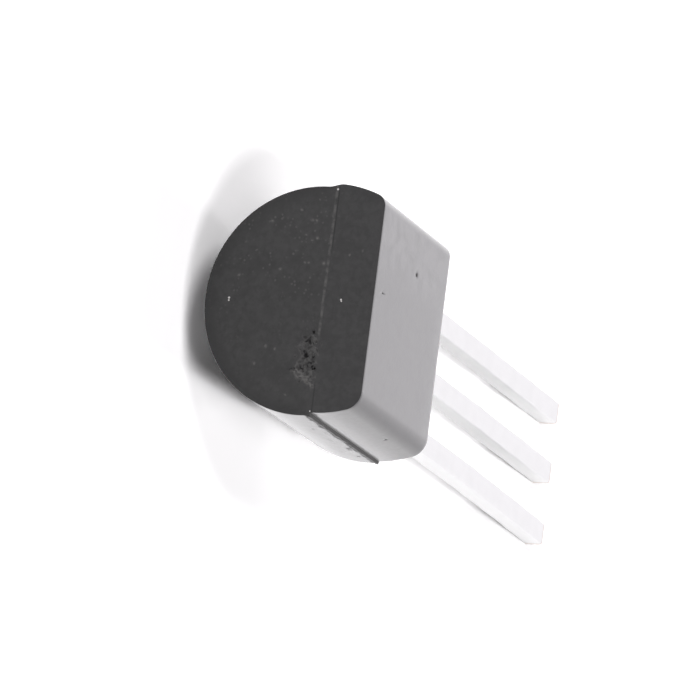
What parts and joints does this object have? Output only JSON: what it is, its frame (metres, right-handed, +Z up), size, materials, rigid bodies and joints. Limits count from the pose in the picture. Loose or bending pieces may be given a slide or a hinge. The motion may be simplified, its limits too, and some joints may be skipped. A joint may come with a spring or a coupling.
{
  "type": "to-92 transistor",
  "caption": "Small through-hole transistor: black D-shaped moulded body with a flat face and straight tinned leads in a row.",
  "frame": {"origin": "middle of the footprint on the floor that the part lies on", "axes": "+Z up, out of the flat face but for the rest tilt; +Y from the closed end of the body towards the lead tips; +X across the row of leads, from the emitter to the base"},
  "size_m": [0.0046, 0.0162, 0.0042],
  "materials": {
    "epoxy": "black filled epoxy, satin moulded skin",
    "tinned_lead": "matt tin plating on the stamped lead frame",
    "silicon": "polished silicon with metal bond pads",
    "solder": "dull solder film",
    "gold_wire": "bright drawn gold wire"
  },
  "bodies": {
    "root": {"case": "epoxy", "collector_lead": "tinned_lead", "emitter_lead": "tinned_lead", "base_lead": "tinned_lead", "die": "silicon", "die_attach": "solder", "emitter_wire": "gold_wire", "base_wire": "gold_wire"}
  },
  "joints": []
}
